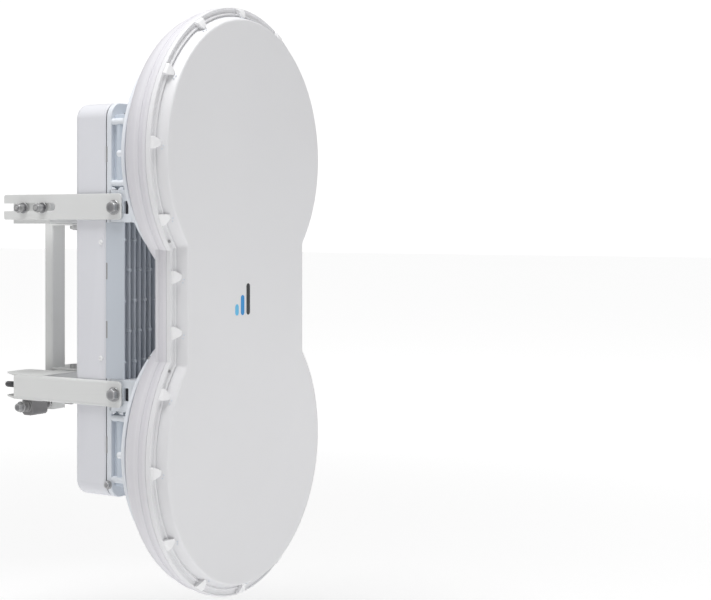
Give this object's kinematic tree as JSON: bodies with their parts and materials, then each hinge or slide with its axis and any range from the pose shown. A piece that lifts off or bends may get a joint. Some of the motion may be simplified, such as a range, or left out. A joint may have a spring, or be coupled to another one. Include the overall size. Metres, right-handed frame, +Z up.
{
  "type": "outdoor wireless bridge",
  "caption": "Tall figure-eight radome over stacked dishes, with a finned radio housing behind it on a bracket that swivels and tilts on an upright channel.",
  "frame": {"origin": "middle of the bracket channel's rear face, which lies against the pole", "axes": "+X to the right seen from the front, +Y to the rear and out of the channel's pole face, +Z up"},
  "size_m": [0.474, 0.44, 0.938],
  "materials": {
    "radome_white": "smooth moulded radome plastic, satin",
    "shell_white": "fine-textured moulded plastic",
    "cast_white": "powder-coated die casting",
    "cover_white": "fine-textured moulded plastic",
    "bracket_white": "powder-coated sheet steel",
    "zinc_steel": "dull zinc plate",
    "dark_steel": "dark zinc plate",
    "dish_metal": "spun aluminium, satin",
    "seal_rubber": "silicone seal, matt",
    "feed_plastic": "natural low-loss plastic",
    "board_green": "solder mask",
    "can_steel": "tinned steel",
    "port_black": "moulded black plastic"
  },
  "bodies": {
    "pole_mount": {"pole_channel": "bracket_white", "upper_swivel_bolt": "zinc_steel", "lower_swivel_bolt": "zinc_steel"},
    "yoke": {"upper_crossbar": "bracket_white", "lower_yoke": "bracket_white", "adjuster_block": "zinc_steel", "adjuster_bolt": "zinc_steel", "clamp_stud_left": "dark_steel", "clamp_stud_right": "dark_steel", "slot_bolt_front_left": "zinc_steel", "slot_bolt_front_right": "zinc_steel", "slot_bolt_rear_left": "zinc_steel", "slot_bolt_rear_right": "zinc_steel", "slot_nut_front_left": "zinc_steel", "slot_nut_front_right": "zinc_steel", "slot_nut_rear_left": "zinc_steel", "slot_nut_rear_right": "zinc_steel"},
    "radio": {"front_radome": "radome_white", "radome_gasket": "seal_rubber", "antenna_frame": "shell_white", "housing_casting": "cast_white", "cover_gasket": "seal_rubber", "rear_cover": "cover_white", "main_board": "board_green", "upper_shield_can": "can_steel", "lower_shield_can": "can_steel", "power_module": "port_black", "gps_patch": "feed_plastic", "port_block": "port_black", "ground_screw": "zinc_steel", "upper_dish_shell": "shell_white", "upper_reflector": "dish_metal", "upper_feed_tube": "dish_metal", "upper_subreflector": "feed_plastic", "upper_mounting_ring": "cast_white", "lower_dish_shell": "shell_white", "lower_reflector": "dish_metal", "lower_feed_tube": "dish_metal", "lower_subreflector": "feed_plastic", "lower_mounting_ring": "cast_white", "cover_screw_upper_left": "cover_white", "cover_screw_lower_left": "cover_white", "upper_pivot_bolt_left": "zinc_steel", "lower_pivot_bolt_left": "zinc_steel", "cover_screw_upper_right": "cover_white", "cover_screw_lower_right": "cover_white", "upper_pivot_bolt_right": "zinc_steel", "lower_pivot_bolt_right": "zinc_steel"},
    "upper_arms": {"upper_arm_left": "bracket_white", "upper_arm_right": "bracket_white"},
    "screw_tip": {"thrust_nut": "dark_steel"},
    "adjusting_screw": {"azimuth_screw": "zinc_steel"}
  },
  "joints": [
    {"name": "azimuth", "type": "hinge", "parent": "pole_mount", "child": "yoke", "pos_m": [0, -0.055, 0], "axis": [0, 0, 1], "range_deg": [-10, 10]},
    {"name": "elevation", "type": "hinge", "parent": "yoke", "child": "radio", "pos_m": [0, -0.228, -0.15], "axis": [1, 0, 0], "range_deg": [-4, 8]},
    {"name": "upper_arm_swing", "type": "hinge", "parent": "radio", "child": "upper_arms", "pos_m": [0, -0.228, 0.15], "axis": [1, 0, 0], "range_deg": [-8, 4]},
    {"name": "azimuth_screw_feed", "type": "slide", "parent": "yoke", "child": "screw_tip", "axis": [1, 0, 0], "range_m": [-0.008, 0.008]},
    {"name": "azimuth_screw_turn", "type": "hinge", "parent": "screw_tip", "child": "adjusting_screw", "pos_m": [0, -0.0095, -0.187], "axis": [1, 0, 0], "range_deg": [-2865, 2865]}
  ],
  "couplings": [
    {"joint": "upper_arm_swing", "follows": "elevation", "ratio": -1},
    {"joint": "azimuth_screw_feed", "follows": "azimuth", "m_per_rad": 0.0455},
    {"joint": "azimuth_screw_turn", "follows": "azimuth", "ratio": 285.9}
  ]
}
